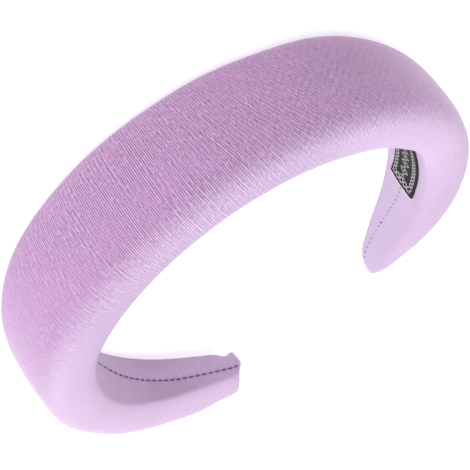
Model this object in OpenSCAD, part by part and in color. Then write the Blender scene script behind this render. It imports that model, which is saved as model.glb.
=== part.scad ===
// Padded headband: a stiff open hoop inside a thick satin pad, which narrows to two blunt ends.
// It lies on its side as it would on a table, with the crown towards -Y and the ends towards +Y.
// The mirror plane is X = 0, the floor is Z = 0, and every size is in millimetres.

/* [Hoop] */
// Length of the inner face from the middle of the crown to one end
half_length = 185; // [170:1:200]
// How far the hoop leans as it lies, crown up and ends down, where it balances on its lower edge
lean = 4.6; // [3.6:0.1:5.6]
// How much the soft pad is pressed flat where it rests
rest_press = 0.8; // [0.2:0.1:1.5]

/* [Pad] */
// Width of the pad over the crown
crown_width = 47; // [40:1:54]
// Thickness of the pad over the crown
crown_thickness = 25; // [19:1:28]
// How square the pad's section is over the crown, where 2 is an ellipse
crown_square = 3.6; // [2.4:0.1:4]
// How square the section is at the ends
end_square = 2.4; // [2:0.1:3]
// Height of the pad's widest line, as a share of its thickness
side_height = 0.48; // [0.4:0.01:0.6]
// Length over which each blunt end is rounded off
end_round = 3; // [2:0.5:5]

/* [Turned-in edges] */
// Thickness of the satin where the cover's edge is folded over on itself
flap_thickness = 1.2; // [1:0.1:1.6]
// Gap between the two folded edges along the seam
seam_gap = 0.5; // [0.3:0.1:1]
// How far the folded edges dip towards the pad at the seam
seam_dip = 0.4; // [0:0.1:0.5]
// Gap between neighbouring pieces
piece_gap = 0.15; // [0.1:0.05:0.3]

/* [Label] */
// Width of the woven label, across the band
label_width = 15; // [12:0.5:18]
// Length of the woven label, along the band
label_length = 38; // [24:1:42]
// Thickness of the woven label with its turned-under ends
label_thickness = 0.8; // [0.6:0.1:1.2]
// Distance of the label's lower edge from the middle of the crown, along the inner face
label_end = 135; // [120:1:150]

/* [Hidden] */

satin = [0.80, 0.66, 0.84];
satin_shaded = [0.72, 0.58, 0.77];
label_cloth = [0.14, 0.13, 0.15];

// One row for each eighth of the arm, from the middle of the crown to the end.
// The width and thickness are shares of the crown's, and the flat inner face is a share of the width.
TURN = 0; // degrees that the hoop turns in an eighth of the arm, at this place
WIDTH = 1;
THICKNESS = 2;
FLAT = 3;
stations = [
    [14.6, 1.00, 0.98, 0.47],
    [15.9, 0.99, 0.98, 0.54],
    [19.0, 0.97, 0.98, 0.60],
    [24.3, 0.91, 0.94, 0.67],
    [24.1, 0.82, 0.86, 0.75],
    [22.3, 0.71, 0.82, 0.79],
    [13.9, 0.60, 0.78, 0.74],
    [ 5.6, 0.47, 0.65, 0.70],
    [-3.6, 0.29, 0.34, 0.72]
];
spans = len(stations) - 1;

// Smooth curve through one column of the table, at place 0 to 1, with no overshoot between rows.
function step(column, i) = stations[i + 1][column] - stations[i][column];
function slope(column, i) =
    i == 0 ? step(column, 0)
    : i == spans ? step(column, spans - 1)
    : let (a = step(column, i - 1), b = step(column, i)) a * b > 0 ? 2 * a * b / (a + b) : 0;
function value(column, place) =
    let (
        i = min(floor(place * spans), spans - 1),
        u = place * spans - i,
        rise = step(column, i)
    )
    stations[i][column] + u * slope(column, i)
    + u * u * (3 * rise - 2 * slope(column, i) - slope(column, i + 1))
    + u * u * u * (slope(column, i) + slope(column, i + 1) - 2 * rise);

// The inner face's middle line, walked in small steps from the crown: [x, y, direction in degrees].
walk_steps = 160;
walk_length = half_length / walk_steps;
walk = [
    for (i = 0, x = 0, y = 0, angle = 0; i <= walk_steps;
        turn = value(TURN, min((i + 0.5) / walk_steps, 1)) * spans / walk_steps,
        x = x + walk_length * cos(angle + turn / 2),
        y = y + walk_length * sin(angle + turn / 2),
        angle = angle + turn,
        i = i + 1)
    [x, y, angle]
];
function on_walk(place) =
    let (f = place * walk_steps, i = min(floor(f), walk_steps - 1))
    walk[i] + (f - i) * (walk[i + 1] - walk[i]);

// Sizes of the section at a place on the arm.
function width_at(place) = crown_width * value(WIDTH, place);
function thickness_at(place) = crown_thickness * value(THICKNESS, place);
function flat_at(place) = width_at(place) * value(FLAT, place);
function side_at(place) = side_height * thickness_at(place);
function square_at(place) = crown_square + (end_square - crown_square) * place;

// The blunt end draws the section in as a quarter circle would, over the last end_round millimetres.
end_narrowing = 0.10;
end_thinning = 0.35;
function drawn_in(place) =
    let (into = max(0, 1 - (1 - place) * half_length / end_round)) 1 - sqrt(1 - into * into);

// Puts a point of the section on the hoop. signed_place runs from -1 to 1, from one end to the other.
// across is along the band's width, and out is away from the head, from the inner face.
function laid(signed_place, across, out) =
    let (
        place = abs(signed_place),
        side = signed_place < 0 ? -1 : 1,
        spot = on_walk(place),
        middle = thickness_at(place) / 2,
        v = across * (1 - end_narrowing * drawn_in(place)),
        n = middle + (out - middle) * (1 - end_thinning * drawn_in(place)),
        x = side * (spot.x + n * sin(spot.z)),
        y = spot.y - n * cos(spot.z)
    )
    [x, y * cos(lean) + v * sin(lean), v * cos(lean) - y * sin(lean)];

// Outline of the pad's section: the top is a superellipse, and below the widest line it turns in
// to the flat inner face along a quarter ellipse.
top_points = 22;
turn_points = 5;
function signed_power(x, power) = sign(x) * pow(abs(x), power);
function top_point(place, angle) =
    let (root = 2 / square_at(place), side = side_at(place))
    [
        width_at(place) / 2 * signed_power(cos(angle), root),
        side + (thickness_at(place) - side) * pow(sin(angle), root)
    ];
function turn_point(place, angle) =
    let (flat = flat_at(place), side = side_at(place))
    [(flat + (width_at(place) - flat) * cos(angle)) / 2, side * (1 - sin(angle))];
function turn_angle(place, height) = asin(1 - height / side_at(place));
under_pad = flap_thickness + piece_gap;
function pad_outline(place) =
    let (last = turn_angle(place, under_pad))
    concat(
        [for (i = [top_points : -1 : 0]) top_point(place, 180 * i / top_points)],
        [for (i = [1 : turn_points]) turn_point(place, last * i / turn_points)],
        [for (i = [turn_points : -1 : 1]) let (p = turn_point(place, last * i / turn_points)) [-p.x, p.y]]
    );

// Outline of a turned-in edge: its outer side carries on the pad's curve, and it is folded at the seam.
fold_round = 0.35;
edge_points = 3;
function flap_outline(place, side) =
    let (
        first = turn_angle(place, flap_thickness),
        seam = seam_gap / 2,
        outline = concat(
            [for (i = [0 : edge_points]) turn_point(place, first + (90 - first) * i / edge_points)],
            [
                [seam + 4 * fold_round, seam_dip / 4],
                [seam + fold_round, seam_dip],
                [seam, seam_dip + fold_round / 2],
                [seam, flap_thickness - fold_round / 2],
                [seam + fold_round, flap_thickness]
            ]
        )
    )
    [for (p = outline) [side * p.x, p.y]];

// Places of the sections, closer together where the ends are rounded off.
arm_steps = 46;
end_steps = 5;
end_start = 1 - end_round / half_length;
arm_places = concat(
    [for (i = [0 : arm_steps]) end_start * i / arm_steps],
    [for (i = [1 : end_steps]) end_start + (1 - end_start) * sin(90 * i / end_steps)]
);
places = concat([for (i = [len(arm_places) - 1 : -1 : 1]) -arm_places[i]], arm_places);

// The height of the hoop above the floor, and its place along Y, follow from the pad itself.
pad_rings = [for (s = places) [for (p = pad_outline(abs(s))) laid(s, p.x, p.y)]];
pad_y = [for (ring = pad_rings) for (p = ring) p.y];
pad_z = [for (ring = pad_rings) for (p = ring) p.z];
lift = -min(pad_z) - rest_press;
centre_y = (min(pad_y) + max(pad_y)) / 2;
function rested(p) = [p.x, p.y - centre_y, max(p.z + lift, 0)];

// A solid through a row of outlines with the same number of points, closed by a fan at each end.
module loft(rings) {
    count = len(rings[0]);
    last = len(rings) - 1;
    middles = [for (i = [0, last]) [for (k = [0 : 2]) sum([for (p = rings[i]) p[k]]) / count]];
    points = concat([for (ring = rings) for (p = ring) p], middles);
    walls = [
        for (i = [0 : last - 1]) for (j = [0 : count - 1])
        let (k = (j + 1) % count)
        [i * count + j, i * count + k, (i + 1) * count + k, (i + 1) * count + j]
    ];
    triangles = [for (w = walls) for (t = [[w[0], w[1], w[2]], [w[0], w[2], w[3]]]) t];
    first_end = [for (j = [0 : count - 1]) [(j + 1) % count, j, count * (last + 1)]];
    last_end = [
        for (j = [0 : count - 1])
        [last * count + j, last * count + (j + 1) % count, count * (last + 1) + 1]
    ];
    polyhedron(points, concat(triangles, first_end, last_end));
}
function sum(list, i = 0) = i == len(list) ? 0 : list[i] + sum(list, i + 1);

function reversed(list) = [for (i = [len(list) - 1 : -1 : 0]) list[i]];

module padded_band() {
    color(satin) loft([for (ring = pad_rings) [for (p = ring) rested(p)]]);
}

module inner_flap(side) {
    rings = [for (s = places) [for (p = flap_outline(abs(s), side)) rested(laid(s, p.x, p.y))]];
    color(satin_shaded) loft(side > 0 ? rings : [for (ring = rings) reversed(ring)]);
}

module inner_flap_front() {
    inner_flap(1);
}

module inner_flap_back() {
    inner_flap(-1);
}

// The label lies on the turned-in edges of the arm at -X, with softened corners at its long sides.
label_steps = 12;
label_bevel = 0.25;
module woven_label() {
    half = label_width / 2;
    near = -piece_gap;
    far = near - label_thickness;
    outline = [
        [half, far + label_bevel], [half - label_bevel, far],
        [-half + label_bevel, far], [-half, far + label_bevel],
        [-half, near - label_bevel], [-half + label_bevel, near],
        [half - label_bevel, near], [half, near - label_bevel]
    ];
    label_places = [for (i = [0 : label_steps]) -(label_end - label_length * i / label_steps) / half_length];
    color(label_cloth) loft([for (s = label_places) [for (p = outline) rested(laid(s, p.x, p.y))]]);
}

padded_band();
inner_flap_front();
inner_flap_back();
woven_label();
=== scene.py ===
import bpy
import numpy as np
from mathutils import Matrix, Vector


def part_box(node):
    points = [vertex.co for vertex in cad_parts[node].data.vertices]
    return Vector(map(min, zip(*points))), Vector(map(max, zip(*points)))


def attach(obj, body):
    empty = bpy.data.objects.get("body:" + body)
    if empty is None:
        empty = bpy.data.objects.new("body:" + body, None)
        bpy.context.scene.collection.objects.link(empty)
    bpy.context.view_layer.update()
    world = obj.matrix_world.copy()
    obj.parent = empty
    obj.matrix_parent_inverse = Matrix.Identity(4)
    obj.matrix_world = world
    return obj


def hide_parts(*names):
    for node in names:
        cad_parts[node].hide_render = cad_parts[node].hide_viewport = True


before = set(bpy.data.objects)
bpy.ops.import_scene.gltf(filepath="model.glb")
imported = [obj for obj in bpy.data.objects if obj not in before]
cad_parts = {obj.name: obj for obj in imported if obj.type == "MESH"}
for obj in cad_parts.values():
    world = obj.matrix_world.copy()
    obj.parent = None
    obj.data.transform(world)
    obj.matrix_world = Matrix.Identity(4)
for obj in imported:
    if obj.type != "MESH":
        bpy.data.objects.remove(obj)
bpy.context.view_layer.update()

# Satin pad
# A stiff hoop inside a thick foam pad, under one piece of lilac satin. The satin is pulled tight
# across the band, which raises fine ribs over the crown, and the pad narrows to two blunt ends.
# Every size is in millimetres until a mesh is made.

HALF_LENGTH = 185.0  # from the middle of the crown to one end, along the inner face
LEAN = 4.6  # degrees, crown up and ends down
CROWN_WIDTH = 47.0
CROWN_THICKNESS = 25.0
CROWN_SQUARE = 3.6  # power of the section's curve, where 2 is an ellipse
END_SQUARE = 2.4
SIDE_HEIGHT = 0.48  # height of the widest line, as a share of the thickness
UNDER_PAD = 1.35  # from the inner face to the pad under the turned-in edges
FLAP_SHORT = 1.3  # how far before each end the turned-in edges stop
WRAP = 0.9  # length over which the pad comes up to the inner face before it closes the end

# The arm at +X has a blunt end with two corners, and the arm with the label a round one: length of the
# rounding, share of the quarter circle that it follows, then how far it narrows, thins and shifts up.
BLUNT_END = (3.0, 1.0, 0.03, 0.12, 0.0)
ROUND_END = (8.0, 0.93, 0.63, 0.58, 0.45)
CORNER_WIDTH = 6.0  # distance from the middle to where the blunt end's lower corner is at its full
END_SLANT = 4.0  # how far the blunt end's upper edge is cut back
OUTER_SLANT = 0.7  # share of that less on the outer side
END_LONGER = 0.6  # how much further the blunt end reaches than the hoop inside it
SLANT_REACH = 16.0  # length over which both ease off
# Distance from the end, reach along the hoop, and how far: the notch and flare of the blunt end's
# lower corner, how far that arm's lower side is drawn in, and the round end's upper side.
CORNER = [(5.0, 2.6, 1.4), (0.0, 1.6, -0.9)]
ARM_TUCK = [(35.0, 26.0, 1.2)]
END_TUCK = [(10.0, 18.0, 1.15)]

# The foam is stuffed and wrapped by hand, so the outer side is a little fuller or slacker in places:
# middle and reach along the hoop, and height.
FILL = [
    (45, 34, 1.3), (88, 9, -1.0), (112, 9, -0.5), (145, 16, 0.25), (166, 12, 1.7), (184, 9.5, 4.3),
    (-40, 20, -0.95), (-88, 12, 0.8), (-119, 24, 1.1), (-181, 18, -2.2),
]
FILL_WIDENS = 0.4  # share of it that also widens the band
INNER_CROWN = 0.7  # how far the middle of the inner face stands out towards the head
CROWN_FADE = 3.0  # distance from the inner face over which that ends
# The same as FILL for the upper edge of the inner face, across the band.
EDGE_FILL = [(-55, 14, 0.6), (-100, 14, -1.8), (76, 17, -1.1)]
LOWER_FILL = [(-115, 14, 0.9), (-166, 13, -0.9)]  # and for the lower edge
# How far the inner face is pressed in towards the pad where the label's upper end is sewn on.
FACE_PRESS = [(-95, 10, 1.2)]
# How far the upper edge of the inner face is drawn towards the seam on the blunt arm.
EDGE_PULL = [(158, 45, 1.2)]

# One row for each eighth of the arm: degrees of turn, then shares of the crown's width and
# thickness, then the flat inner face as a share of the width.
TURN, WIDTH, THICKNESS, FLAT = range(4)
STATIONS = np.array([
    [14.6, 1.00, 0.98, 0.47],
    [15.9, 0.99, 0.98, 0.54],
    [19.0, 0.97, 0.98, 0.60],
    [24.3, 0.91, 0.94, 0.67],
    [24.1, 0.82, 0.86, 0.75],
    [22.3, 0.71, 0.82, 0.79],
    [13.9, 0.60, 0.78, 0.74],
    [5.6, 0.47, 0.65, 0.70],
    [-3.6, 0.29, 0.34, 0.72],
])
SPANS = len(STATIONS) - 1


def column(index, place):
    """One column of the table at places from 0 to 1: a cubic in each span, whose slope at a row is
    the harmonic mean of the steps on its two sides, or 0 where these differ in sign."""
    rows = STATIONS[:, index]
    steps = np.diff(rows)
    product = steps[:-1] * steps[1:]
    total = np.where(product > 0, steps[:-1] + steps[1:], 1.0)
    slopes = np.concatenate([steps[:1], np.where(product > 0, 2 * product / total, 0.0), steps[-1:]])
    span = np.minimum((place * SPANS).astype(int), SPANS - 1)
    u = place * SPANS - span
    rise = steps[span]
    bend = 3 * rise - 2 * slopes[span] - slopes[span + 1]
    curl = slopes[span] + slopes[span + 1] - 2 * rise
    return rows[span] + u * slopes[span] + u**2 * bend + u**3 * curl


def running(steps):
    """Sum of the steps so far, from 0 on."""
    return np.concatenate([[0], np.cumsum(steps)])


# The inner face's middle line, walked in small steps from the crown.
WALK_STEPS = 3200
walk_place = np.linspace(0, 1, WALK_STEPS + 1)
walk_turns = column(TURN, (walk_place[:-1] + walk_place[1:]) / 2) * SPANS / WALK_STEPS
walk_angle = np.radians(running(walk_turns))
walk_middle = (walk_angle[:-1] + walk_angle[1:]) / 2
walk_x = running(np.cos(walk_middle)) * HALF_LENGTH / WALK_STEPS
walk_y = running(np.sin(walk_middle)) * HALF_LENGTH / WALK_STEPS


def width_at(place):
    return CROWN_WIDTH * column(WIDTH, place)


def thickness_at(place):
    return CROWN_THICKNESS * column(THICKNESS, place)


def bell(value):
    return np.exp(-(value**2))


def ramp(value):
    return np.clip(value, 0, 1)


def eased(value):
    """0 below 0, 1 above 1, and between them three times the square less twice the cube."""
    return ramp(value) ** 2 * (3 - 2 * ramp(value))


def swell(along, bells):
    """Sum of bells along the hoop, each with its middle, reach and height."""
    return sum(height * bell((along - middle) / reach) for middle, reach, height in bells)


def spots(along, around, bells):
    """Sum of bells along the hoop and round the band, each with its middle and reach along, the same
    round, and its height."""
    return sum(height * bell((along - middle) / reach) * bell((around - centre) / width)
               for middle, reach, centre, width, height in bells)


def laid(signed, across, out):
    """Points on the leaning hoop. signed runs from -1 to 1 between the ends, across is along the
    band's width, and out is away from the head. The section is set off from the walk's place along
    its normal and its width, after each end has drawn in as a quarter circle does, and after bells
    along the hoop have tucked, filled or pressed it."""
    place = abs(signed)
    ends = np.array([ROUND_END, BLUNT_END])[:, :, None, None]
    rounding, follows, narrowing, thinning, shift = np.where(signed[None] < 0, ends[0], ends[1])
    to_end = (1 - place) * HALF_LENGTH
    blunt = signed > 0
    upper = ramp(2 * across / width_at(place))
    outer = ramp(out / thickness_at(place))
    ease = ramp(1 - to_end / SLANT_REACH)
    cut = END_SLANT * upper * (1 - OUTER_SLANT * outer) * ease**2 * blunt
    spot = place - cut / HALF_LENGTH
    angle = np.interp(spot, walk_place, walk_angle)
    longer = END_LONGER * ease * blunt
    x = np.interp(spot, walk_place, walk_x) + longer * np.cos(angle)
    y = np.interp(spot, walk_place, walk_y) + longer * np.sin(angle)
    arc = follows * ramp(1 - to_end / rounding)
    drawn = 1 - np.sqrt(1 - arc**2)
    middle = thickness_at(place) / 2
    v = across * (1 - narrowing * drawn) + shift * drawn
    corner = ramp(-across / CORNER_WIDTH) ** 2 * blunt
    v = v + corner * swell(to_end, CORNER)
    lower = ramp(-2 * across / width_at(place))
    v = v + lower**2 * swell(to_end, ARM_TUCK) * blunt
    v = v - upper * swell(to_end, END_TUCK) * ~blunt
    n = middle + (out - middle) * (1 - thinning * drawn)
    along = signed * HALF_LENGTH
    fill = swell(along, FILL) * outer
    flat = width_at(place) * column(FLAT, place) / 2
    near_face = ramp(1 - out / CROWN_FADE)
    n = n + fill - INNER_CROWN * ramp(1 - (across / flat) ** 2) * near_face
    v = v + FILL_WIDENS * fill * np.clip(2 * across / width_at(place), -1, 1)
    v = v + (swell(along, EDGE_FILL) * upper**2 + swell(along, LOWER_FILL) * lower**2) * (1 - outer)
    n = n + swell(along, FACE_PRESS) * (1 - outer) ** 2
    below_side = ramp(1 - outer / SIDE_HEIGHT)
    v = v - swell(along, EDGE_PULL) * ramp(across / flat) ** 2 * below_side**2
    side = np.where(signed < 0, -1.0, 1.0)
    x = side * (x + n * np.sin(angle))
    y = y - n * np.cos(angle)
    lean = np.radians(LEAN)
    return np.stack([x, y * np.cos(lean) + v * np.sin(lean), v * np.cos(lean) - y * np.sin(lean)], -1)


ROWS = 1340  # along the hoop, four or five to a rib
TOP_COLUMNS = 48
TURN_COLUMNS = 9
UNDER_COLUMNS = 3
END_ROWS = 16


def places_along(rows, end_rows):
    """Places from -1 to 1, even along the hoop and as the sine of even angles in the two ends."""
    near = BLUNT_END[0] / HALF_LENGTH
    far = ROUND_END[0] / HALF_LENGTH
    share = np.sin(np.linspace(0, np.pi / 2, end_rows + 1))[1:]
    even = np.linspace(far - 1, 1 - near, rows - 2 * end_rows)
    return np.concatenate([(far - 1 - far * share)[::-1], even, 1 - near + near * share])


def even_angles(count, samples=20001):
    """Angles from 0 to pi that part the crown's superellipse into even lengths."""
    angle = np.linspace(0, np.pi, samples)
    power = 2 / CROWN_SQUARE
    x = CROWN_WIDTH / 2 * np.sign(np.cos(angle)) * abs(np.cos(angle)) ** power
    y = CROWN_THICKNESS * (1 - SIDE_HEIGHT) * abs(np.sin(angle)) ** power
    length = running(np.hypot(np.diff(x), np.diff(y)))
    return np.interp(np.linspace(0, length[-1], count + 1), length, angle)


def turn_point(place, angle):
    """Quarter ellipse from the widest line, at angle 0, to the flat inner face, at a right angle."""
    width = width_at(place)
    flat = width * column(FLAT, place)
    side = SIDE_HEIGHT * thickness_at(place)
    return (flat + (width - flat) * np.cos(angle)) / 2, side * (1 - np.sin(angle))


def turn_angle(place, height):
    return np.arcsin(1 - height / (SIDE_HEIGHT * thickness_at(place)))


def under_at(place):
    """Height of the pad's hidden face, which comes up evenly to the inner face where the turned-in
    edges stop."""
    return UNDER_PAD * ramp(((1 - place) * HALF_LENGTH - FLAP_SHORT) / WRAP)


def pad_section(place):
    """Outline of the pad, a row for each place: front turn, superellipse over the top from the front
    to the back, back turn, and the hidden face under the turned-in edges."""
    place = place[:, None]
    side = SIDE_HEIGHT * thickness_at(place)
    power = 2 / (CROWN_SQUARE + (END_SQUARE - CROWN_SQUARE) * place)
    angle = even_angles(TOP_COLUMNS)[None]
    cosine = np.cos(angle)
    top_across = width_at(place) / 2 * np.sign(cosine) * abs(cosine) ** power
    top_out = side + (thickness_at(place) - side) * ramp(np.sin(angle)) ** power
    last = turn_angle(place, under_at(place))
    share = np.arange(TURN_COLUMNS, 0, -1)[None] / TURN_COLUMNS
    turn_across, turn_out = turn_point(place, last * share)
    share = np.linspace(1, -1, UNDER_COLUMNS + 2)[None, 1:-1]
    under_across = -turn_across[:, :1] * share
    under_out = under_at(place) + 0 * under_across
    across = np.hstack([turn_across, top_across, -turn_across[:, ::-1], under_across])
    out = np.hstack([turn_out, top_out, turn_out[:, ::-1], under_out])
    return across, out


def around_length(across, out):
    """Distance round the outline from the middle of the outer side, with the closing column added."""
    across = np.hstack([across, across[:, :1]])
    out = np.hstack([out, out[:, :1]])
    steps = np.hypot(np.diff(across, axis=1), np.diff(out, axis=1))
    length = np.hstack([np.zeros((len(across), 1)), np.cumsum(steps, axis=1)])
    middle = TURN_COLUMNS + TOP_COLUMNS // 2
    return length - length[:, middle:middle + 1]


def irregular(seed, x, y, length_x, length_y, waves=26):
    """Smooth uneven surface with mean 0 and spread 1: cosine waves in random directions, added up,
    with none shorter than length_x along x and length_y along y."""
    random = np.random.default_rng(seed)
    heading = random.uniform(0, 2 * np.pi, waves)
    share = random.uniform(0.4, 1.0, waves)
    start = random.uniform(0, 2 * np.pi, waves)
    total = np.zeros(np.broadcast(x, y).shape)
    for h, f, p in zip(heading, share, start):
        total += np.cos(2 * np.pi * f * (x * np.cos(h) / length_x + y * np.sin(h) / length_y) + p)
    return total * np.sqrt(2 / waves)


def unevenness(x, y, kinds):
    """Sum of irregular surfaces, each with how much it counts, its seed and its least lengths."""
    return sum(amount * irregular(seed, x, y, *lengths) for amount, seed, *lengths in kinds)


def outward(points):
    """Unit normals of a grid that is closed round its columns, by the cross product of differences."""
    along = np.gradient(points, axis=0)
    around = np.roll(points, -1, axis=1) - np.roll(points, 1, axis=1)
    normal = np.cross(along, around)
    return normal / np.linalg.norm(normal, axis=-1, keepdims=True)


pad_places = places_along(ROWS, END_ROWS)
pad_across, pad_out = pad_section(abs(pad_places))
pad_length = around_length(pad_across, pad_out)
pad_raw = laid(pad_places[:, None], pad_across, pad_out)
band_low, band_high = (np.array(corner) * 1000 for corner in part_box("padded_band"))
LIFT = band_high[2] - pad_raw[..., 2].max()
MIDDLE_Y = pad_raw[..., 1].min() - band_low[1]
FLOOR_SOFTNESS = 0.5


def rested(points):
    """Lifts the hoop to its place and presses what would be under the floor flat: the height becomes
    the mean of itself and its distance from the floor, rounded by FLOOR_SOFTNESS."""
    x, y, z = np.moveaxis(points, -1, 0)
    z = z + LIFT
    z = (z + np.sqrt(z**2 + FLOOR_SOFTNESS**2)) / 2
    return np.stack([x, y - MIDDLE_Y, z], -1)


TIGHT_MIDDLE = -4.0  # where along the hoop the satin is pulled hardest
TIGHT_REACH = (48.0, 56.0)  # to half of that towards +X, and towards the label's arm
TIGHT_SIDE = 28.0  # the same round from the middle of the outer side
TIGHT_OVER = (5.0, 28.0)  # how much further at the crown, and that one's reach
TIGHT_UPPER = (6.5, -2.0, 26.0)  # how much further again on the crown's upper side, its middle and reach
TIGHT_LOSS = (0.5, 10.0, 20.0)  # share of that less towards +X, from where on and over what length
# The ends of the ribs by the far shoulder's edge: middle and reach along, the same round, and how much.
RIB_ENDS = [(-84, 22, -18, 5, 0.55)]

# The ribs run straight across the band in the middle of the crown, and lean over towards the label.
RIB_PITCH = 1.16
RIB_LEAN = (25.0, 16.0, 74.0)  # degrees, from where on and over what length
RIB_HEIGHT = 0.018
# How much each kind of unevenness counts, its seed, and its least lengths along and round the band:
# of the place of each rib, in turns, and of its height.
RIB_DRIFT = [(0.12, 41, 9, 60), (0.04, 42, 4, 16)]
RIB_UNEVEN = [(0.42, 43, 2.0, 17), (0.35, 44, 1.5, 4)]
UNEVEN_LEAN = 0.2  # how far the uneven heights run along the hoop, for each millimetre round the band
RIB_MOST = 2.2  # of the mean height
RIB_LEFT = 0.08  # how high the ribs still stand where the satin is slack
PATCH_PITCH = 1.95  # of the coarser ribs where the hoop begins to bend
# Middle and reach along the hoop of the two patches of them, the way across their ribs, and how much.
PATCHES = [(-52, 20, 0.80, 0.60, 1.0), (46, 18, 0.96, 0.28, 0.6)]
PATCH_MEAN = 0.7  # how much a patch counts, on the whole, and PATCH_MOST at most
PATCH_UNEVEN = [(0.6, 45, 5, 9)]
PATCH_MOST = 2.0
PATCH_HEIGHT = 0.5  # of the other ribs' height


def tightness(along, around):
    """How hard the satin is pulled: 1 over the crown's outer side, and half at the reaches, with the
    fourth power of the distance towards +X, the square towards -X and the tenth power round. A spot
    by the far shoulder's edge is added."""
    from_middle = along - TIGHT_MIDDLE
    near = 1 / (1 + (from_middle / TIGHT_REACH[0]) ** 4)
    far = 1 / (1 + (from_middle / TIGHT_REACH[1]) ** 2)
    more, middle, reach = TIGHT_UPPER
    loss, start, length = TIGHT_LOSS
    upper = (around < 0) * (bell((along - middle) / reach) - loss * ramp((along - start) / length))
    side = TIGHT_SIDE + TIGHT_OVER[0] * bell(from_middle / TIGHT_OVER[1]) + more * upper
    over = np.where(from_middle > 0, near, far) / (1 + (around / side) ** 10)
    return over + spots(along, around, RIB_ENDS)


def rib_turns(along, around):
    """Number of ribs to a point: the length along over the pitch, and round the band as much as the
    ribs lean there, with a slow uneven drift."""
    most, start, length = RIB_LEAN
    lean = np.radians(most) * eased((start - along) / length)
    return (along - around * np.tan(lean)) / RIB_PITCH + unevenness(along, around, RIB_DRIFT)


def rib_strength(along, around):
    """How high the ribs stand: uneven from one rib to the next and long along each, and almost gone
    off the tight part of the satin."""
    single = 1 + unevenness(along - UNEVEN_LEAN * around, around, RIB_UNEVEN)
    return np.clip(single, 0, RIB_MOST) * (RIB_LEFT + (1 - RIB_LEFT) * tightness(along, around))


def patch_ribs(along, around):
    """Coarser ribs that cross the others at a slant: cosines that fade out as a bell from the middle
    of each patch, of uneven height."""
    coarse = 0
    for middle, reach, x, y, amount in PATCHES:
        turns = (x * along + y * around) / PATCH_PITCH
        coarse = coarse + amount * bell((along - middle) / reach) * np.cos(2 * np.pi * turns)
    height = np.clip(PATCH_MEAN + unevenness(along, around, PATCH_UNEVEN), 0, PATCH_MOST)
    return coarse * height * tightness(along, around)


pad_along = pad_places[:, None] * HALF_LENGTH + 0 * pad_length
pad_turns = rib_turns(pad_along, pad_length)
pad_strength = rib_strength(pad_along, pad_length)
pad_patches = patch_ribs(pad_along, pad_length)
pad_ribs = pad_strength * np.cos(2 * np.pi * pad_turns) + PATCH_HEIGHT * pad_patches

# Long pull lines and wide shallow hollows, which end by the two ends: height, seed and least lengths.
SKIN_UNEVEN = [(0.010, 6, 3.5, 60), (0.10, 7, 30, 26)]
SKIN_FADE = 8.0
end_fade = ramp((1 - abs(pad_places)) * HALF_LENGTH / SKIN_FADE)[:, None]

# No relief where the turned-in edges rise along the pad, past SEAT_COLUMN of each turn's columns.
SEAT_COLUMN = 5
RELIEF_COLUMNS = 4  # over which it ends before that
from_seat = SEAT_COLUMN + 1 - np.arange(TURN_COLUMNS, 0, -1)
on_turn = ramp(from_seat / RELIEF_COLUMNS)
relief = np.concatenate([on_turn, np.ones(TOP_COLUMNS + 1), on_turn[::-1], np.zeros(UNDER_COLUMNS)])
pad_height = RIB_HEIGHT * pad_ribs + end_fade * unevenness(pad_along, pad_length, SKIN_UNEVEN)
pad_height = pad_height[:, :-1] * relief
pad_points = rested(pad_raw + outward(pad_raw) * pad_height[..., None])
CAP_ROWS = 6
CAP_DOMES = (2.0, 0.6)  # height at the round end and at the blunt one
CAP_ARC = 0.8  # share of a circle's radius that each dome spans
MAP_SIZE = 100.0  # millimetres of cloth across the unit square of its map


def capped(points, rows, domes):
    """Adds rows at both ends that shrink the last outline towards its middle and dome outwards, as a
    circle does within CAP_ARC of its radius."""
    rim = np.sqrt(1 - CAP_ARC**2)
    for end, before, dome in ((0, 1, domes[0]), (-1, -2, domes[1])):
        ring = points[end]
        middle = ring.mean(0)
        away = middle - points[before].mean(0)
        away = away / np.linalg.norm(away)
        share = (1 - np.arange(1, rows + 1) / (rows + 1))[:, None, None]
        rise = (np.sqrt(1 - (CAP_ARC * share) ** 2) - rim) / (1 - rim)
        cap = middle + (ring - middle) * share + away * dome * rise
        points = np.concatenate([cap[::-1], points] if end == 0 else [points, cap])
    return points


def in_scene(name, data):
    """Adds a mesh, lamp or camera to the scene."""
    thing = bpy.data.objects.new(name, data)
    bpy.context.scene.collection.objects.link(thing)
    return thing


def smooth_piece(name, points, faces, marks):
    """A smooth mesh in the scene, from points in millimetres, with named values at its points."""
    mesh = bpy.data.meshes.new(name)
    mesh.from_pydata((points * 0.001).tolist(), [], faces)
    for mark, values in marks.items():
        store = mesh.attributes.new(mark, "FLOAT", "POINT")
        store.data.foreach_set("value", values.astype(np.float32))
    mesh.polygons.foreach_set("use_smooth", np.ones(len(mesh.polygons), bool))
    mesh.update()
    return in_scene(name, mesh)


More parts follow.
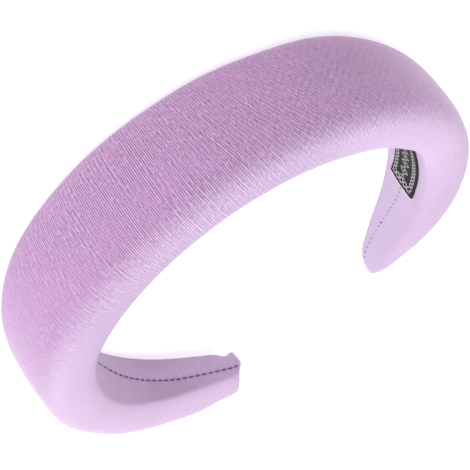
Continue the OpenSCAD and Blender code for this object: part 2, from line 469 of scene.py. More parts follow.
def closed_piece(name, points, cloth, marks):
    """Mesh of a grid that is closed round its columns, with a fan round a middle point at each end.
    cloth holds the pattern's two lengths, in millimetres, with the closing column added."""
    rows, columns = points.shape[:2]
    index = np.arange(rows * columns).reshape(rows, columns)
    right = np.roll(index, -1, axis=1)
    quads = np.stack([index[:-1], index[1:], right[1:], right[:-1]], -1).reshape(-1, 4)
    first, last = rows * columns, rows * columns + 1
    fans = np.stack([index[0], right[0], np.full(columns, first)], -1).tolist()
    fans += np.stack([right[-1], index[-1], np.full(columns, last)], -1).tolist()
    middles = np.stack([points[0].mean(0), points[-1].mean(0)])
    vertices = np.concatenate([points.reshape(-1, 3), middles])
    values = {mark: np.append(grid, [grid[0].mean(), grid[-1].mean()]) for mark, grid in marks.items()}
    piece = smooth_piece(name, vertices, quads.tolist() + fans, values)
    corners = np.stack([cloth[:-1, :-1], cloth[1:, :-1], cloth[1:, 1:], cloth[:-1, 1:]], -2)
    flat = [corners.reshape(-1, 2)]
    for a, b in ((cloth[0, :-1], cloth[0, 1:]), (cloth[-1, 1:], cloth[-1, :-1])):
        flat.append(np.stack([a, b, (a + b) / 2], -2).reshape(-1, 2))
    layer = piece.data.uv_layers.new(name="cloth")
    layer.data.foreach_set("uv", (np.concatenate(flat) / MAP_SIZE).astype(np.float32).ravel())
    return piece


def spread(values, rows):
    """The first and last row again for each of the cap's rows."""
    return np.concatenate([values[:1].repeat(rows, 0), values, values[-1:].repeat(rows, 0)])


pad_cloth = spread(np.stack([pad_along, pad_length], -1), CAP_ROWS)

# The outer side has the deeper lilac, which eases over the shoulders to the sides' paler one, a painted
# sheen.
FACE_SHARE = 0.455  # of the width, from the middle of the outer side to the middle of that change
FACE_END = (74.0, 90.0)  # the same along the hoop, towards +X and towards the label's arm
FACE_POWER = (12, 8)  # how suddenly it changes there, round the band and along the hoop
FAR_PAINTED_LIGHT = [(-98, 24, 0.35)]  # middle, reach and how much painted light the far shoulder has
# Middle and reach along the hoop, the same round the band, and how much: painted light by the crown's lower
# edge and on the upper side of the far shoulder, and a little painted shade in some other places.
LOW_PAINTED_LIGHT = [(10, 38, 17, 7, 0.16)]
UPPER_PAINTED_LIGHT = [(-57, 19, -31, 9, 0.2)]
PAINTED_SHADE_SPOTS = [
    (92, 20, -19, 4.5, 0.2), (-140, 34, -24, 12, 0.18), (-185, 22, -18, 9, 0.12),
    (-58, 15, 2, 15, 0.26), (78, 9, -8, 9, 0.1),
]
# Painted light and painted shade on the pad, which the satin's colour takes up.
pad_painted_light = swell(pad_along, FAR_PAINTED_LIGHT) + spots(pad_along, pad_length, LOW_PAINTED_LIGHT)
pad_side_painted_light = spots(pad_along, pad_length, UPPER_PAINTED_LIGHT)
pad_painted_shade = spots(pad_along, pad_length, PAINTED_SHADE_SPOTS)
face_half = FACE_SHARE * width_at(abs(pad_places))[:, None]
face = 1 / (1 + (pad_length / face_half) ** FACE_POWER[0])
face = face / (1 + (pad_along / np.where(pad_along > 0, *FACE_END)) ** FACE_POWER[1])
pad_marks = {
    "turns": pad_turns, "strength": pad_strength, "patches": pad_patches,
    "tight": tightness(pad_along, pad_length), "face": face,
    "pale": pad_painted_light, "light": pad_side_painted_light, "painted_shade": pad_painted_shade,
}
for mark, values in pad_marks.items():
    pad_marks[mark] = spread(values[:, :-1], CAP_ROWS)
satin_pad = closed_piece("satin_pad", capped(pad_points, CAP_ROWS, CAP_DOMES), pad_cloth, pad_marks)


class Wire:
    """A socket of a material's nodes. Arithmetic with it adds Math nodes."""

    def __init__(self, paint, socket):
        self.paint = paint
        self.socket = socket

    def __add__(self, other):
        return self.paint.math("ADD", self, other)

    def __sub__(self, other):
        return self.paint.math("SUBTRACT", self, other)

    def __mul__(self, other):
        return self.paint.math("MULTIPLY", self, other)

    def __truediv__(self, other):
        return self.paint.math("DIVIDE", self, other)

    def __rsub__(self, other):
        return self.paint.math("SUBTRACT", other, self)

    def __abs__(self):
        return self.paint.math("ABSOLUTE", self)

    __radd__ = __add__
    __rmul__ = __mul__


class Paint:
    """One material and its nodes."""

    def __init__(self, name):
        self.material = bpy.data.materials.new(name)
        self.material.use_nodes = True
        self.nodes = self.material.node_tree.nodes
        self.links = self.material.node_tree.links
        self.nodes.clear()

    def add(self, kind, settings=(), sockets=(), out=0):
        """A node of that type, with its settings and then its sockets set or linked."""
        node = self.nodes.new("ShaderNode" + kind)
        for key, value in dict(settings).items():
            setattr(node, key, value)
        for key, value in dict(sockets).items():
            if isinstance(value, Wire):
                self.links.new(value.socket, node.inputs[key])
            else:
                node.inputs[key].default_value = value
        return Wire(self, node.outputs[out])

    def math(self, operation, *values):
        return self.add("Math", {"operation": operation}, dict(enumerate(values)))

    def wave(self, turns):
        """Cosine of so many turns."""
        return self.math("COSINE", turns * (2 * np.pi))

    def mix(self, share, low, high):
        """A colour between two."""
        return self.add("Mix", {"data_type": "RGBA"}, {0: share, 6: low, 7: high}, 2)

    def marks(self, *names):
        """The values that a mesh has at each of its points, by name."""
        return [self.add("Attribute", {"attribute_name": name}, (), 2) for name in names]

    def cloth(self):
        """Millimetres along the hoop and round the band, on the cloth."""
        place = self.add("UVMap", {"uv_map": "cloth"})
        x = self.add("SeparateXYZ", (), {0: place}, 0)
        y = self.add("SeparateXYZ", (), {0: place}, 1)
        return x * MAP_SIZE, y * MAP_SIZE

    def noise(self, x, y, length_x, length_y, detail=2.0):
        """Uneven value from 0 to 1, so long along x and along y."""
        place = self.add("CombineXYZ", (), {0: x / length_x, 1: y / length_y})
        return self.add("TexNoise", (), {"Vector": place, "Scale": 1.0, "Detail": detail})

    def finish(self, colour, height, relief, **sockets):
        """Principled shader with a bump, to the output."""
        bump = self.add("Bump", (), {"Height": height, "Distance": relief * 0.001, "Strength": 1.0})
        shader = self.add("BsdfPrincipled", (), {"Base Color": colour, "Normal": bump, **sockets})
        output = self.nodes.new("ShaderNodeOutputMaterial")
        self.links.new(shader.socket, output.inputs["Surface"])
        return self.material


def srgb(red, green, blue):
    """Linear colour, with alpha, of one given as a screen's values from 0 to 255."""
    value = np.array([red, green, blue]) / 255
    return tuple(np.where(value > 0.04045, ((value + 0.055) / 1.055) ** 2.4, value / 12.92)) + (1.0,)


# Crest and valley colours are the ribs' painted highlight and painted shade, on the outer side and on the
# sides.
SATIN_CREST_HIGHLIGHT = srgb(197, 162, 199)
SATIN_VALLEY_SHADE = srgb(138, 98, 143)
# The sides' paler colours are painted sheen, and lighter again on the arms as painted light.
SATIN_SIDE_SHEEN = srgb(162, 141, 174)
SATIN_SIDE_HIGHLIGHT = srgb(220, 193, 224)
SATIN_ARM_SHEEN = srgb(178, 154, 186)
SATIN_ARM_HIGHLIGHT = srgb(226, 203, 231)
SATIN_PINK = srgb(183, 137, 183)
# Dark lilac for painted shade.
SATIN_PAINTED_SHADE = srgb(140, 114, 140)
SATIN_GLOSS = {"Roughness": 0.45, "Specular IOR Level": 0.18}
SATIN_RELIEF = 0.03
RELIEF_SHARE = 0.8  # how much of that the unevenness has, and the threads where the satin is tight
THREAD_PITCH = 0.60
THREAD_WOBBLE = 0.6  # turns by which the unevenness shifts the threads
SATIN_WEAVE = (0.8, 5.0)  # least lengths along and round, and the same of its grain and slow changes
SATIN_GRAIN = (0.5, 1.5)
SATIN_SLOW = (30.0, 24.0)
ARM_START = 45.0  # where the sides' lilac begins to turn warmer and lighter as painted light, over ARM_TURN along the hoop
ARM_TURN = 50.0
SIDE_SHADE = (0.8, 0.075)  # how much of the shade shows on the sides, and how much darker they are

# The shade runs from 0, painted shade in a valley, to 1, a painted highlight on a crest: its mean, and how
# much each thing counts in it, for the weave and its grain where the satin is tight, and all over.
MEAN_SHADE = 0.53
RIB_SHADE = 0.45
PATCH_SHADE = 0.3
THREAD_SHADE = 0.5
WEAVE_SHADE = (0.5, 0.3)
GRAIN_SHADE = (1.5, 0.2)
WIDE_RIB = 0.45  # how much a rib's whole turn counts beside its half turns, which are SECOND_RIB ahead
SECOND_RIB = 0.12
PINK_FROM = 0.45  # of the slow noise's range, from where on the satin turns pink


def side_colour(paint, along, shade):
    """The sides' paler lilac, a painted sheen, which turns warmer and lighter from the crown to the arms as
    painted light.
    """
    arm = (abs(along) - ARM_START) / ARM_TURN
    low = paint.mix(arm, SATIN_SIDE_SHEEN, SATIN_ARM_SHEEN)
    crest = paint.mix(arm, SATIN_SIDE_HIGHLIGHT, SATIN_ARM_HIGHLIGHT)
    return paint.mix(shade * SIDE_SHADE[0] - SIDE_SHADE[1], low, crest)


def satin_material():
    """Lilac with painted shade in the ribs' valleys and a painted highlight on their crests, with a fine
    weave across the band.
    """
    paint = Paint("satin")
    along, around = paint.cloth()
    turns, strength, patches, tight, face, pale, light, painted_shade = paint.marks(*pad_marks)
    uneven = paint.noise(along, around, *SATIN_WEAVE)
    thread = paint.wave(along / THREAD_PITCH + uneven * THREAD_WOBBLE)
    grain = paint.noise(along, around, *SATIN_GRAIN, detail=1.0)
    rib = strength * (paint.wave(turns) * WIDE_RIB + paint.wave(turns * 2 + SECOND_RIB))
    # pale adds painted light, on the far shoulder and by the crown's lower edge.
    shade = MEAN_SHADE + pale + rib * RIB_SHADE + patches * PATCH_SHADE + thread * tight * THREAD_SHADE
    shade = shade + (uneven - 0.5) * (tight * WEAVE_SHADE[0] + WEAVE_SHADE[1])
    shade = shade + (grain - 0.5) * (tight * GRAIN_SHADE[0] + GRAIN_SHADE[1])
    colour = paint.mix(shade, SATIN_VALLEY_SHADE, SATIN_CREST_HIGHLIGHT)
    slow = paint.noise(along, around, *SATIN_SLOW)
    colour = paint.mix(slow - PINK_FROM, colour, SATIN_PINK)
    # On the sides that painted light is taken out again, and light adds painted light on the far shoulder's
    # upper side.
    colour = paint.mix(face, side_colour(paint, along, shade - pale + light), colour)
    # The last mix is painted shade in a few places.
    colour = paint.mix(painted_shade, colour, SATIN_PAINTED_SHADE)
    height = thread * tight * RELIEF_SHARE + uneven * RELIEF_SHARE
    return paint.finish(colour, height, SATIN_RELIEF, **SATIN_GLOSS)


satin_pad.data.materials.append(satin_material())
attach(satin_pad, "root")
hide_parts("padded_band")

# Turned-in edges
# The two long edges of the satin cover, folded in over the inner face and sewn to each other in the
# middle. The cloth is flat here, dips into the seam and is a little puckered by the stitches.

# Height of the cloth over the pad's skin at the pad's own turn columns, from SEAT_COLUMN down to the
# pad's edge: the cloth comes out from under the skin so gently that no line shows.
FLAP_OVER = np.array([-0.35, -0.05, -0.012, 0.012, 0.03])
FLAP_THICKNESS = 1.2
FOLD_RADIUS = 0.22
SEAM_DIP = 0.26
LEAST_DIP = 0.2  # share of the dip that stays under a stitch
DIP_REACH = 1.8
PUCKER = [(1.1, 0.8, 0.12)]  # distance from the fold, reach and height of the cloth between two stitches
SLACK_LOSS = 0.65  # share of the fold, dip and puckers that goes where the stitches are loose
FLAP_UNEVEN = [(0.05, 11, 7, 12)]
FLAP_TURN_COLUMNS = 5
FLAP_FLAT_COLUMNS = 12
FLAP_FOLD_COLUMNS = 5
FLAP_CROWDING = 1.6  # power that crowds the flat columns towards the seam
FLAP_ROWS = 1000
BACK_INSET = 0.5  # from the cloth to its hidden back, between the pad and its skin
HIDDEN_INSET = (0.1, 0.8)  # of that back from the fold and from the pad's edge
SEAM_TO_EDGE = (4.2, 134.0, 42.0)  # how far the seam goes down on the label's arm, from where on, over what
SEAM_LIMIT = 0.64  # of the way to the flat face's edge, at most
SEAM_POWER = 6  # of the sum that rounds it off there
SEAM_BOW = [(107.0, 13.0, 6.0)]  # place, reach and depth of its bow down in the bend of the other arm
SEAM_RISE = (2.3, 120.0, 35.0)  # how far up on that arm, from where on and how long
SEAM_LAST = (0.8, 6.0)  # and down again by its end, over what length


def seam_at(signed):
    """Distance of the seam from the middle of the inner face: an eased step down near the end of the
    label's arm, a bell down in the bend of the other arm, an eased step up there, and a ramp down."""
    along = signed * HALF_LENGTH
    down, start, length = SEAM_TO_EDGE
    low = down * eased((-along - start) / length)
    place = abs(signed)
    limit = SEAM_LIMIT * width_at(place) * column(FLAT, place) / 2
    low = low * limit / (low**SEAM_POWER + limit**SEAM_POWER) ** (1 / SEAM_POWER)
    down, length = SEAM_LAST
    last = down * ramp(1 - (HALF_LENGTH - along) / length)
    rise, start, length = SEAM_RISE
    return rise * eased((along - start) / length) - low - swell(along, SEAM_BOW) - last


STITCH_PITCH = 2.6
STITCH_GROWTH = (0.75, 112.0, 60.0)  # how much more by the end at +X, from where on and how long
PITCH_SAMPLES = 741
growth, growth_start, growth_length = STITCH_GROWTH
pitch_along = np.linspace(-HALF_LENGTH, HALF_LENGTH, PITCH_SAMPLES)
pitch_here = STITCH_PITCH + growth * eased((pitch_along - growth_start) / growth_length)
pitch_turns = running(np.diff(pitch_along) * 2 / (pitch_here[1:] + pitch_here[:-1]))


def stitch_turns(signed):
    """Number of stitches from the end at -X: the length along, over a pitch that grows slowly."""
    return np.interp(signed * HALF_LENGTH, pitch_along, pitch_turns)


SLACK_ARM = (-20.0, 60.0)  # where the stitches begin to go slack, and over what length
SLACK_BEND = [(104, 9, 0.6)]  # place, reach and how far in the bend of the other arm


def slackness(along):
    """How loose the stitches lie: eased to 1 on the label's arm, and a bell on the other arm."""
    start, length = SLACK_ARM
    return np.maximum(eased((start - along) / length), swell(along, SLACK_BEND))


def flap_section(signed, side):
    """Outline of one edge, a row for each place: down the pad's turn, across the flat face to the
    fold at the seam, and back underneath. side is 1 for the upper edge and -1 for the lower one."""
    place = abs(signed)[:, None]
    last = turn_angle(place, UNDER_PAD)
    high = last * np.arange(SEAT_COLUMN, TURN_COLUMNS + 1) / TURN_COLUMNS
    low = last + (np.pi / 2 - last) * np.arange(1, FLAP_TURN_COLUMNS + 1) / FLAP_TURN_COLUMNS
    angle = np.hstack([high, low])
    over = np.concatenate([FLAP_OVER, np.full(FLAP_TURN_COLUMNS, FLAP_OVER[-1])])
    turn_across, turn_out = turn_point(place, angle)
    turn_across, turn_out = turn_across + over * np.cos(angle), turn_out - over * np.sin(angle)
    edge = turn_across[:, -1:]
    share = np.linspace(0, 1, FLAP_FLAT_COLUMNS + 2)[None, 1:-1]
    along = signed[:, None] * HALF_LENGTH
    pull = 1 - SLACK_LOSS * slackness(along)
    fold_radius = FOLD_RADIUS * pull
    fold_start = side * seam_at(signed)[:, None] + fold_radius
    flat_across = edge + (fold_start - edge) * (1 - (1 - share) ** FLAP_CROWDING)
    from_fold = flat_across - fold_start
    between = 0.5 - 0.5 * pull * np.cos(2 * np.pi * stitch_turns(signed)[:, None])
    dip = SEAM_DIP * pull * (LEAST_DIP + (1 - LEAST_DIP) * between)
    puckers = pull * (1 - between) * swell(from_fold, PUCKER)
    uneven = unevenness(along, side * flat_across, FLAP_UNEVEN) * np.sin(np.pi * share)
    flat_out = dip * bell(from_fold / DIP_REACH) - puckers + uneven - FLAP_OVER[-1]
    bend = np.linspace(0, np.pi / 2, FLAP_FOLD_COLUMNS)[None]
    fold_across = fold_start - fold_radius * np.sin(bend)
    fold_out = dip - FLAP_OVER[-1] + fold_radius * (1 - np.cos(bend))
    pad_edge = TURN_COLUMNS - SEAT_COLUMN
    back_columns = [pad_edge - 1, pad_edge - 3, 0]
    back = angle[:, back_columns]
    back_across = turn_across[:, back_columns] - BACK_INSET * np.cos(back)
    back_out = turn_out[:, back_columns] + BACK_INSET * np.sin(back)
    by_seam = fold_across[:, -1:] + HIDDEN_INSET[0]
    by_edge = turn_across[:, pad_edge:pad_edge + 1] - HIDDEN_INSET[1]
    under_across = np.hstack([by_seam, by_edge, back_across])
    under_out = np.hstack([np.full_like(back[:, :2], FLAP_THICKNESS), back_out])
    across = np.hstack([turn_across, flat_across, fold_across, under_across])
    out = np.hstack([turn_out, flat_out, fold_out, under_out])
    return side * across, out


FLAP_LIGHT = srgb(193, 165, 200)
FLAP_DARK = srgb(171, 148, 176)
# Lighter lilac for painted light.
FLAP_PAINTED_LIGHT = srgb(188, 174, 198)
FLAP_SHADE = [(147, 17, 0.30)]  # how much painted shade the flat cloth has where the blunt arm bends
SHADE_REACH = 7.0  # distance from the seam over which that begins on the lower edge
# How much painted shade the turn of the label's arm has and how much painted light its flat cloth has, from
# where on, how long.
FAR_SHADE = (0.2, 100.0, 30.0)
FAR_FLAP_PAINTED_LIGHT = (0.5, 95.0, 20.0)
TURNED = (0.05, 0.8)  # height from which the flat cloth's colour becomes the side's, and over what
FLAP_WEAVE = (1.0, 6.0)
FLAP_SLOW = (18.0, 12.0)
FLAP_WOBBLE = 0.9
FLAP_THREADS = 0.4  # height of the threads where the cloth is flat, as RELIEF_SHARE
FLAT_SHADE = (1.1, 0.08, 0.5)  # how much the unevenness, the threads and the slow changes count in it
FLAT_DARKER = 0.35
TURNED_SHADE = (0.3, 0.35)  # how much the unevenness counts where the cloth turns up, and the least


def turned_in_material():
    """Slacker lilac with a faint weave, which takes the side's painted sheen where it turns up the pad,
    with painted light and painted shade in places.
    """
    paint = Paint("satin_turned_in")
    along, across = paint.cloth()
    turned, painted_shade, pale = paint.marks("turned", "painted_shade", "pale")
    uneven = paint.noise(along, across, *FLAP_WEAVE)
    thread = paint.wave(along / THREAD_PITCH + uneven * FLAP_WOBBLE)
    slow = paint.noise(along, across, *FLAP_SLOW)
    shade = uneven * FLAT_SHADE[0] + thread * FLAT_SHADE[1] + slow * FLAT_SHADE[2] - FLAT_DARKER
    colour = paint.mix(shade, FLAP_DARK, FLAP_LIGHT)
    # pale is painted light on the flat cloth of the label's arm.
    colour = paint.mix(pale, colour, FLAP_PAINTED_LIGHT)
    side = side_colour(paint, along, uneven * TURNED_SHADE[0] + TURNED_SHADE[1])
    colour = paint.mix(turned, colour, side)
    # The last mix is painted shade where the blunt arm bends and on the turn of the label's arm.
    colour = paint.mix(painted_shade, colour, SATIN_PAINTED_SHADE)
    height = thread * FLAP_THREADS * (1 - turned) + uneven * RELIEF_SHARE
    return paint.finish(colour, height, SATIN_RELIEF, **SATIN_GLOSS)


turned_in = turned_in_material()
flap_places = places_along(FLAP_ROWS, END_ROWS) * (1 - FLAP_SHORT / HALF_LENGTH)
for side, name in ((1, "inner_flap_front"), (-1, "inner_flap_back")):
    across, out = flap_section(flap_places, side)
    on_turn = np.arange(across.shape[1]) < len(FLAP_OVER) + FLAP_TURN_COLUMNS
    turned = ramp((out - TURNED[0]) / TURNED[1]) * on_turn
    points = rested(laid(flap_places[:, None], across, out))
    cloth = np.stack([flap_places[:, None] * HALF_LENGTH + 0 * across, across], -1)
    cloth = np.concatenate([cloth, cloth[:, :1]], 1)
    if side > 0:
        points, cloth, turned = points[:, ::-1], cloth[:, ::-1], turned[:, ::-1]
    flap_along = cloth[:, :-1, 0]
    from_seam = abs(cloth[:, :-1, 1]) if side < 0 else SHADE_REACH
    # Painted shade where the blunt arm bends and on the turn of the label's arm, and painted light on that
    # arm's flat cloth.
    painted_shade = swell(flap_along, FLAP_SHADE) * (1 - turned) * ramp(from_seam / SHADE_REACH)
    amount, start, length = FAR_SHADE
    painted_shade = painted_shade + amount * turned * ramp((-flap_along - start) / length)
    amount, start, length = FAR_FLAP_PAINTED_LIGHT
    pale = amount * (1 - turned) * ramp((-flap_along - start) / length)
    flap = closed_piece("satin_" + name, points, cloth, {"turned": turned, "painted_shade": painted_shade, "pale": pale})
    flap.data.materials.append(turned_in)
    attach(flap, "root")
    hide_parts(name)
    reach = abs(across[:, 0] - seam_at(flap_places))
    flap_area = np.sum((reach[1:] + reach[:-1]) / 2 * np.diff(flap_places)) * HALF_LENGTH * 1e-6
    reach.max() * 0.001

# Seam thread
# Dark purple sewing thread in short stitches, which draw the two folded edges together. On the arm
# with the label they are short, thin and loose, so that less of each one shows.

THREAD_RADIUS = 0.30
STITCH_SHARE = 1.02  # of the pitch
SHORT_SHARE = 0.5
STITCH_DIP = 0.18  # how far each stitch's two ends go down into the cloth
# What differs between stitches: shares of length and radius, then depth below the flat cloth and slant.
STITCH_LENGTHS = (0.88, 1.08)
STITCH_RADII = (0.9, 1.05)
STITCH_DEPTHS = (0.07, 0.13)
STITCH_SLANTS = (-0.16, -0.04)
# Loose stitches differ more in radius, and are thinner, less deep, more aslant and paler.
LOOSE_RADII = (-0.4, 0.4)
LOOSE_THINNER = 0.2
LOOSE_RISE = 0.06
LOOSE_SLANT = 0.5
LOOSE_PALE = (0.0, 0.8)
THREAD_RINGS = 7
THREAD_SIDES = 8
LEAST_RADIUS = 0.02  # square of the share that is left at a stitch's two ends


def thread_stitches(name, middles, lengths, radii, depths, slants, pales):
    """Stitches as one mesh: a round section carried along the seam, whose radius is the square root of
    1 less the fourth power of the share of the half length. The ends dip by that fourth power too."""
    t = np.linspace(-1, 1, THREAD_RINGS)[None, :, None]
    middle, length, radius, depth, slant = (
        values[:, None, None] for values in (middles, lengths, radii, depths, slants))
    radius = radius * np.sqrt(np.clip(1 - t**4, LEAST_RADIUS, 1))
    angle = np.linspace(0, 2 * np.pi, THREAD_SIDES, endpoint=False)
    along = (middle + length * t / 2) / HALF_LENGTH + 0 * angle
    out = depth + radius * np.sin(angle) + STITCH_DIP * t**4
    sideways = seam_at(along) + slant * t + radius * np.cos(angle)
    shape = (len(middles) * THREAD_RINGS, THREAD_SIDES)
    points = rested(laid(along.reshape(shape), sideways.reshape(shape), out.reshape(shape)))
    index = np.arange(along.size).reshape(len(middles), THREAD_RINGS, THREAD_SIDES)
    right = np.roll(index, -1, axis=2)
    quads = np.stack([index[:, :-1], index[:, 1:], right[:, 1:], right[:, :-1]], -1).reshape(-1, 4)
    faces = quads.tolist() + index[:, 0].tolist() + index[:, -1, ::-1].tolist()
    marks = {"pale": np.repeat(pales, THREAD_RINGS * THREAD_SIDES)}
    return smooth_piece(name, points.reshape(-1, 3), faces, marks)


THREAD_DARK = srgb(80, 34, 92)
THREAD_LIGHT = srgb(118, 68, 130)
THREAD_PALE = srgb(176, 146, 190)
THREAD_MOTTLE = 3000.0  # to a metre
THREAD_RELIEF = 0.05


def thread_material():
    """Purple with a fine mottle for the twist, paler where a stitch lies loose."""
    paint = Paint("thread")
    place = paint.add("TexCoord", (), (), 3)
    twist = paint.add("TexNoise", (), {"Vector": place, "Scale": THREAD_MOTTLE})
    pale, = paint.marks("pale")
    colour = paint.mix(pale, paint.mix(twist, THREAD_DARK, THREAD_LIGHT), THREAD_PALE)
    return paint.finish(colour, twist, THREAD_RELIEF, Roughness=0.6)


stitch_along = np.interp(np.arange(int(pitch_turns[-1])) + 0.5, pitch_turns, pitch_along)
stitch_gap = np.interp(stitch_along, pitch_along, pitch_here)
stitch_random = np.random.default_rng(21)


def each_stitch(span):
    """A random value for each stitch, between two."""
    return stitch_random.uniform(*span, len(stitch_along))


loose = slackness(stitch_along)
lengths = stitch_gap * (STITCH_SHARE + (SHORT_SHARE - STITCH_SHARE) * loose)
lengths = lengths * each_stitch(STITCH_LENGTHS)
radii = THREAD_RADIUS * (1 - LOOSE_THINNER * loose) * each_stitch(STITCH_RADII)
radii = radii * (1 + loose * each_stitch(LOOSE_RADII))
depths = each_stitch(STITCH_DEPTHS) - LOOSE_RISE * loose
slants = each_stitch(STITCH_SLANTS) + LOOSE_SLANT * loose
pales = loose * each_stitch(LOOSE_PALE)
seam_thread = thread_stitches("seam_thread", stitch_along, lengths, radii, depths, slants, pales)
seam_thread.data.materials.append(thread_material())
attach(seam_thread, "root")

# Woven label
# A black damask label with a thin grey border, laid over the seam on the inner face of the arm at -X.
# Its two short ends are turned under and sewn down. A row of plain lozenges stands inside the border.

LABEL_WIDTH = 15.0
LABEL_LENGTH = 38.0
LABEL_END = 135.0
LABEL_THICKNESS = 0.8
LABEL_GAP = 0.15
LABEL_ROWS = 90
LABEL_COLUMNS = 40
LABEL_EDGE = 0.3
LABEL_FOLD = 5.0  # length of its turned-under ends
LABEL_MIDDLE = 0.72  # share of the thickness left between them
LABEL_UNEVEN = [(0.03, 31, 7, 7)]
LABEL_TURN = 6.0  # degrees that it is turned on its place
LABEL_SHIFT = (-0.4, 1.8)  # how far it is sewn on off its place, along and across
LABEL_SLANT = 0.06  # how far its ends are cut out of square


def label_section(along):
    """Outline of the label, a row for each place along it: a flat face whose long edges are quarter
    circles, and whose thickness goes as a square root up to the two turned-under ends."""
    half = LABEL_WIDTH / 2
    share = np.linspace(1, -1, LABEL_COLUMNS)[None]
    at_edge = ramp(1 - half * (1 - abs(share)) / LABEL_EDGE)
    rounding = LABEL_EDGE * (1 - np.sqrt(1 - at_edge**2))
    from_end = np.minimum(along, LABEL_LENGTH - along)[:, None]
    folded = np.sqrt(ramp(1 - from_end / LABEL_FOLD))
    top = rounding - LABEL_GAP - LABEL_THICKNESS * (LABEL_MIDDLE + (1 - LABEL_MIDDLE) * folded)
    top = top + unevenness(along[:, None], share * half, LABEL_UNEVEN)
    across = np.hstack([share * half, [[-half, half]]]) + 0 * along[:, None]
    out = np.hstack([top, np.full((len(along), 2), -LABEL_GAP)])
    return across, out


label_along = np.linspace(0, LABEL_LENGTH, LABEL_ROWS)
label_across, label_out = label_section(label_along)
from_middle = label_along[:, None] - LABEL_LENGTH / 2
turned_by = np.radians(LABEL_TURN)
label_middle = LABEL_END - LABEL_LENGTH / 2 + LABEL_SHIFT[0]
cosine, sine = np.cos(turned_by), np.sin(turned_by)
label_place = label_middle + from_middle * cosine + label_across * (sine + LABEL_SLANT)
label_sideways = LABEL_SHIFT[1] + label_across * cosine - from_middle * sine
label_points = rested(laid(-label_place / HALF_LENGTH, label_sideways, label_out))
label_cloth = np.stack([label_along[:, None] + np.zeros((1, LABEL_COLUMNS + 3)),
                        np.hstack([label_across, label_across[:, :1]])], -1)
label = closed_piece("label", label_points, label_cloth, {})

LABEL_BLACK = srgb(40, 34, 42)
LABEL_SHADE = srgb(20, 16, 22)
LABEL_GREY = srgb(192, 192, 188)
# Pale cut threads, partly a painted highlight of the lit edge.
LABEL_CUT_AND_HIGHLIGHT = srgb(250, 244, 250)
CHAIN_INSET = 2.2  # from the edges to the middle of the links
CHAIN_LINK = (1.0, 1.1)  # half sizes across and along the chain
CHAIN_RING = (0.85, 0.24)  # shares of them where a link's line runs, and half the line's width
CHAIN_PITCH = 2.4
BORDER = 1.2  # from the middle of the links to where the lozenges may begin
END_INSET = 0.65  # how much a distance from the two ends counts beside one from the long sides
LOZENGE = (2.5, 2.6)  # half sizes across and along their row
LOZENGE_RING = (0.88, 0.16)
LOZENGE_CORE = 0.3  # share of them that is filled
LOZENGE_PITCH = 5.6
WEFT_PITCH = 0.38
WARP_PITCH = 0.5
CUT_WIDTH = 0.35  # of the pale line of cut threads along its upper end, partly a painted highlight of its lit edge
LABEL_GRAIN = (1.2, 0.8)  # least lengths of its unevenness, along and across
LABEL_WOBBLE = 0.5  # of a line, by that unevenness, and how much of it the figures have
CHAIN_WOBBLE = (0.4, 0.6)  # across and along the chain
LOZENGE_WOBBLE = 0.5  # across their row
WEAVE_SHARE = 0.25  # how much the weave shows in the black and in the grey
GREY_SHARE = 0.7
LABEL_RELIEF = 0.08
WEAVE_HEIGHT = 0.4  # share of that, where the figures have it all
LABEL_GLOSS = {"Roughness": 0.7, "Specular IOR Level": 0.2}


def label_material():
    """Black damask with a border of small round links and a row of lozenges down the middle."""
    paint = Paint("label_cloth")
    along, across = paint.cloth()
    weft = paint.wave(along / WEFT_PITCH)
    warp = paint.wave(across / WARP_PITCH)
    uneven = paint.noise(along, across, *LABEL_GRAIN)
    wobble = (uneven - 0.5) * LABEL_WOBBLE
    from_side = LABEL_WIDTH / 2 - abs(across)
    from_end = (LABEL_LENGTH / 2 - abs(along - LABEL_LENGTH / 2)) * END_INSET
    on_side = paint.math("LESS_THAN", from_side, from_end)
    inset = paint.math("MINIMUM", from_side, from_end)
    run = along * on_side + across * (1 - on_side)
    step = paint.math("PINGPONG", run + wobble * CHAIN_WOBBLE[1], CHAIN_PITCH / 2)
    link_x = (inset + wobble * CHAIN_WOBBLE[0] - CHAIN_INSET) / CHAIN_LINK[0]
    link_y = step / CHAIN_LINK[1]
    link = paint.math("SQRT", link_x * link_x + link_y * link_y)
    chain = paint.math("LESS_THAN", abs(link - CHAIN_RING[0]), CHAIN_RING[1])
    step = paint.math("PINGPONG", along + wobble, LOZENGE_PITCH / 2)
    lozenge = abs(across + wobble * LOZENGE_WOBBLE) / LOZENGE[0] + step / LOZENGE[1]
    outline = paint.math("LESS_THAN", abs(lozenge - LOZENGE_RING[0]), LOZENGE_RING[1])
    core = paint.math("LESS_THAN", lozenge, LOZENGE_CORE)
    inner = paint.math("GREATER_THAN", inset, CHAIN_INSET + BORDER)
    figure = paint.math("MAXIMUM", chain, (outline + core) * inner)
    colour = paint.mix(weft * warp * WEAVE_SHARE + uneven, LABEL_SHADE, LABEL_BLACK)
    colour = paint.mix(figure * (GREY_SHARE + weft * WEAVE_SHARE), colour, LABEL_GREY)
    # A pale line of cut threads along the upper end, partly a painted highlight of the lit edge.
    cut = paint.math("GREATER_THAN", along, LABEL_LENGTH - CUT_WIDTH)
    colour = paint.mix(cut, colour, LABEL_CUT_AND_HIGHLIGHT)
    height = weft * WEAVE_HEIGHT + warp * WEAVE_HEIGHT + figure
    return paint.finish(colour, height, LABEL_RELIEF, **LABEL_GLOSS)


label.data.materials.append(label_material())
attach(label, "root")
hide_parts("woven_label")

# Floor, light and camera
# A plain white sheet under the headband, and four large soft lights and a pale sky round it, as in a
# light tent. The camera looks over the crown from the place of the photograph.

CAMERA_PLACE = (-0.0306, -0.4621, 0.3311)
CAMERA_TURN = (-3.66, 34.62, 145.17)  # degrees: azimuth from -Y towards +X, elevation, roll
CAMERA_LENS = 117.16
SENSOR = 36.0


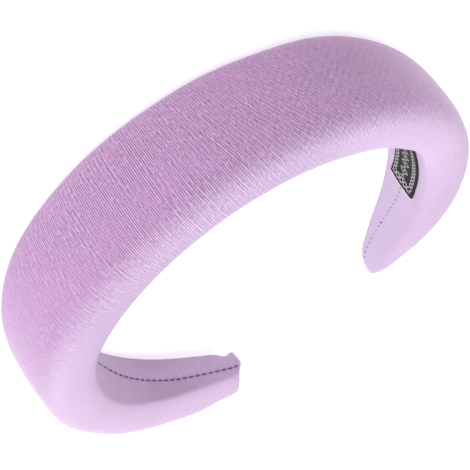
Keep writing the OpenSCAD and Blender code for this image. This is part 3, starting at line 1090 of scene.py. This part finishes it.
def camera():
    """The camera's three axes from its azimuth and elevation, turned about its line of sight."""
    azimuth, elevation, roll = np.radians(CAMERA_TURN)
    flat = np.cos(elevation)
    back = Vector((np.sin(azimuth) * flat, -np.cos(azimuth) * flat, np.sin(elevation)))
    level = Vector((0, 0, 1)).cross(back).normalized()
    upright = back.cross(level)
    right = level * np.cos(roll) + upright * np.sin(roll)
    up = back.cross(right)
    data = bpy.data.cameras.new("camera")
    data.lens = CAMERA_LENS
    data.sensor_width = SENSOR
    data.clip_start = 0.01
    made = in_scene("camera", data)
    made.matrix_world = Matrix.Translation(CAMERA_PLACE) @ Matrix((right, up, back)).transposed().to_4x4()
    bpy.context.scene.camera = made


# name, azimuth from +X towards +Y and elevation in degrees, and power in watts
LAMPS = [
    ("key", 300, 50, 13.6),
    ("back", 120, 50, 11.9),
    ("low", 0, 18, 8.8),
    ("fill", 45, 18, 5.9),
]
LAMP_SIZE = 1.3
LAMP_DISTANCE = 1.5
FLOOR_HALF = 3.0
FLOOR_GREY = (0.59, 0.61)
FLOOR_GRAIN = 900.0  # to a metre
FLOOR_RELIEF = 0.01
FLOOR_GLOW = 0.57
TENT_GLOW = 0.54
WHITE = (1.0, 1.0, 1.0, 1.0)


def soft_light(name, azimuth, elevation, power):
    """A large round lamp on a sphere round the headband, turned to its middle."""
    azimuth, elevation = np.radians([azimuth, elevation])
    flat = np.cos(elevation)
    way = Vector((np.cos(azimuth) * flat, np.sin(azimuth) * flat, np.sin(elevation)))
    data = bpy.data.lights.new(name, "AREA")
    data.shape = "DISK"
    data.size = LAMP_SIZE
    data.energy = power
    made = in_scene(name, data)
    made.location = way * LAMP_DISTANCE
    made.rotation_mode = "QUATERNION"
    made.rotation_quaternion = (-way).to_track_quat("-Z", "Y")


def white_floor():
    """A square sheet that glows a little, which keeps the shadow as faint as the tent does."""
    mesh = bpy.data.meshes.new("floor")
    corners = [(x * FLOOR_HALF, y * FLOOR_HALF, 0) for x, y in ((-1, -1), (1, -1), (1, 1), (-1, 1))]
    mesh.from_pydata(corners, [], [(0, 1, 2, 3)])
    floor = in_scene("floor", mesh)
    paint = Paint("white_sheet")
    place = paint.add("TexCoord", (), (), 3)
    grain = paint.add("TexNoise", (), {"Vector": place, "Scale": FLOOR_GRAIN})
    colour = paint.mix(grain, *((grey, grey, grey, 1.0) for grey in FLOOR_GREY))
    glow = {"Emission Color": WHITE, "Emission Strength": FLOOR_GLOW}
    mesh.materials.append(paint.finish(colour, grain, FLOOR_RELIEF, Roughness=0.9, **glow))


camera()
white_floor()
for lamp in LAMPS:
    soft_light(*lamp)
world = bpy.data.worlds.new("tent")
world.use_nodes = True
tent = world.node_tree.nodes["Background"].inputs
tent["Color"].default_value = WHITE
tent["Strength"].default_value = TENT_GLOW
bpy.context.scene.world = world
bpy.context.scene.view_settings.view_transform = "Standard"
